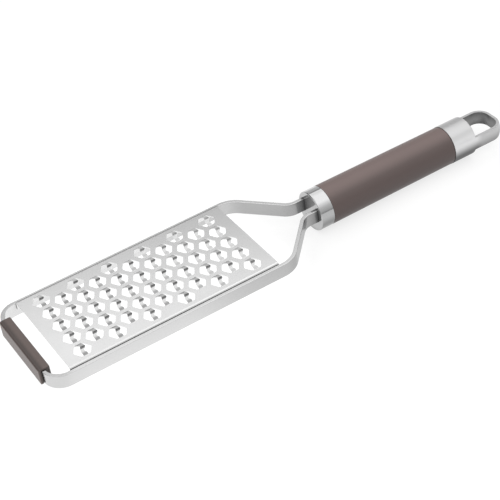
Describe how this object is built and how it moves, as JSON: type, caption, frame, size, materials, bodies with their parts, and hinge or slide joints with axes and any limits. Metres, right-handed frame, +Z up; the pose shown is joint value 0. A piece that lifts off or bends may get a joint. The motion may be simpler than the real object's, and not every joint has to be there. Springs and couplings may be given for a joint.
{
  "type": "hand grater",
  "caption": "Hand grater: flat toothed steel plate in a bent strip frame, with a soft front foot, a round grip and a hanging loop.",
  "frame": {"origin": "under the middle of the tool's overall box, level with the lowest line of the handle", "axes": "+X along the handle's axis from the front foot to the hanging loop, +Z up from the toothed side of the plate, +Y across the plate"},
  "size_m": [0.3158, 0.0692, 0.0239],
  "materials": {
    "plate_steel": "satin",
    "frame_steel": "satin",
    "polished_steel": "polished",
    "rod_steel": "turned",
    "foot_rubber": "matte",
    "grip_skin": "matte",
    "core_plastic": "moulded"
  },
  "bodies": {
    "root": {"grater_plate": "plate_steel", "frame_band": "frame_steel", "front_foot": "foot_rubber", "front_ferrule": "polished_steel", "tang_block": "rod_steel", "tie_rod": "rod_steel", "grip_core": "core_plastic", "grip_sleeve": "grip_skin", "end_cap": "polished_steel"}
  },
  "joints": []
}
